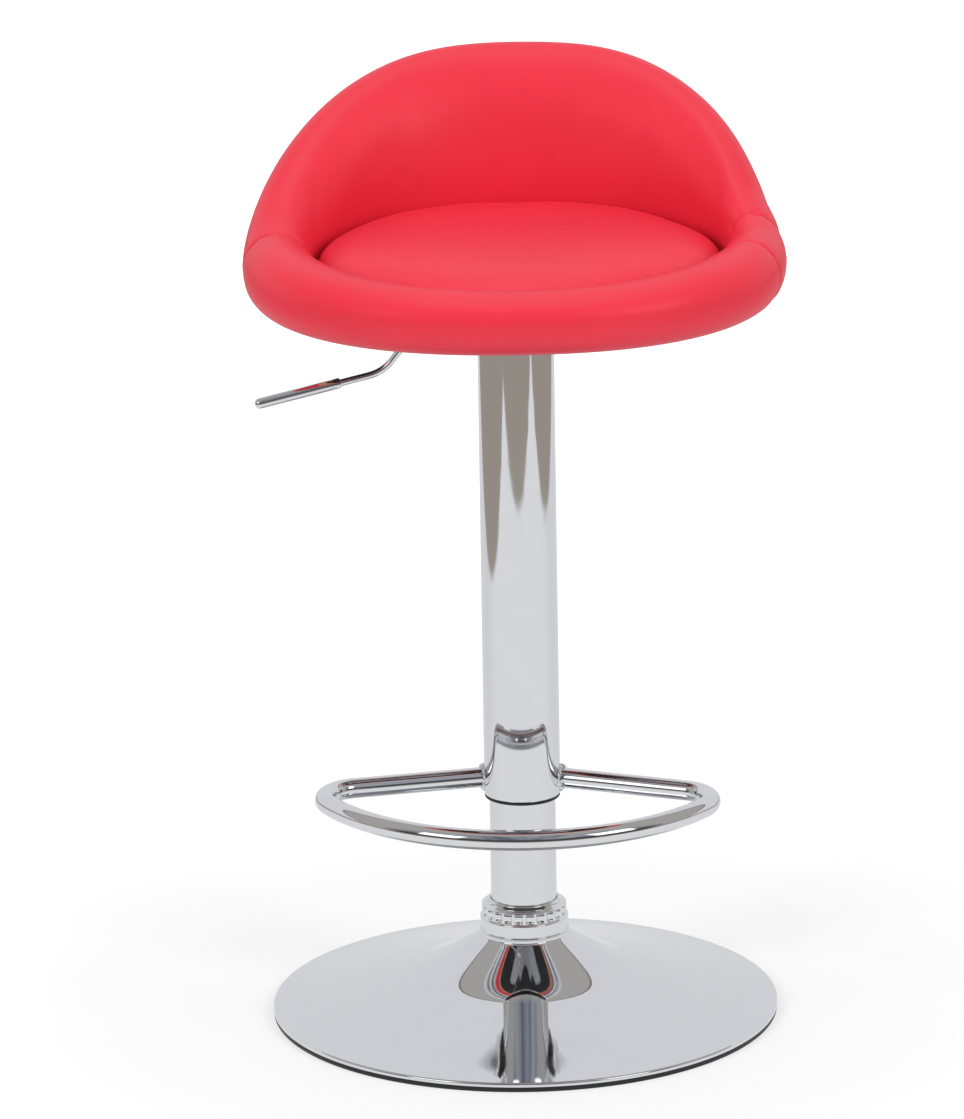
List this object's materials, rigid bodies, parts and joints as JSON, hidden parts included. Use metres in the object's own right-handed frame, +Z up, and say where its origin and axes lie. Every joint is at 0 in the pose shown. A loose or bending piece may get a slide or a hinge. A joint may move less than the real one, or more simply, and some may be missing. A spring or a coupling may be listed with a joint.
{
  "type": "gas-lift bar stool",
  "caption": "Swivelling bar stool with a padded low-backed bucket seat, a gas lift with its release lever, a hoop footrest and a trumpet base.",
  "frame": {"origin": "on the floor, at the middle of the base, on the column's axis", "axes": "+Z up along the column, -Y towards the front of the seat, +X towards the right-hand side as seen from the front, opposite the lever"},
  "size_m": [0.4245, 0.4, 0.7454],
  "materials": {
    "chrome": "bright polished chrome plating",
    "steel": "plain machined or zinc-plated steel",
    "black_plastic": "satin black moulded plastic",
    "ivory_plastic": "smooth ivory bearing plastic",
    "red_leatherette": "fine-grained leatherette with a soft satin sheen",
    "plywood": "unfinished plywood",
    "dust_cloth": "thin non-woven black cover"
  },
  "bodies": {
    "base": {"base_dish": "chrome", "floor_ring": "black_plastic", "ballast_disc": "steel", "hub_socket": "steel", "base_collar": "chrome", "column_tube": "chrome", "column_liner": "ivory_plastic", "thrust_race_lower": "steel"},
    "lift_rod": {"thrust_race_upper": "steel", "thrust_ball_cage": "steel", "retaining_clip": "steel", "piston_rod": "steel", "piston": "black_plastic"},
    "carriage": {"gas_cylinder": "steel", "cylinder_gland": "black_plastic", "sleeve_tube": "chrome", "sleeve_bush": "black_plastic", "sleeve_carrier": "steel", "footrest_hoop": "chrome", "seat_hub": "steel", "lever_bracket": "steel", "lever_pin": "steel", "back_pad": "red_leatherette", "front_roll": "red_leatherette", "back_shell": "plywood", "seat_cushion": "red_leatherette", "seat_board": "plywood", "under_cover": "dust_cloth", "seat_plate": "steel", "washer_1": "steel", "seat_bolt_1": "steel", "tee_nut_1": "steel", "washer_2": "steel", "seat_bolt_2": "steel", "tee_nut_2": "steel", "washer_3": "steel", "seat_bolt_3": "steel", "tee_nut_3": "steel", "washer_4": "steel", "seat_bolt_4": "steel", "tee_nut_4": "steel"},
    "lever": {"lever_rod": "chrome", "lever_grip": "chrome"},
    "release_button": {"valve_button": "steel"}
  },
  "joints": [
    {"name": "seat_swivel", "type": "hinge", "parent": "base", "child": "lift_rod", "pos_m": [0, 0, 0.0236], "axis": [0, 0, 1], "continuous": true},
    {"name": "seat_lift", "type": "slide", "parent": "lift_rod", "child": "carriage", "axis": [0, 0, 1], "range_m": [0, 0.2]},
    {"name": "lever_lift", "type": "hinge", "parent": "carriage", "child": "lever", "pos_m": [-0.038, 0, 0.573], "axis": [0, 1, 0], "range_deg": [0, 6], "stiffness_Nm_per_rad": 5, "springref_deg": -5.73},
    {"name": "button_press", "type": "slide", "parent": "carriage", "child": "release_button", "axis": [0, 0, -1], "range_m": [0, 0.004]}
  ],
  "couplings": [
    {"joint": "button_press", "follows": "lever_lift", "m_per_rad": 0.038}
  ]
}
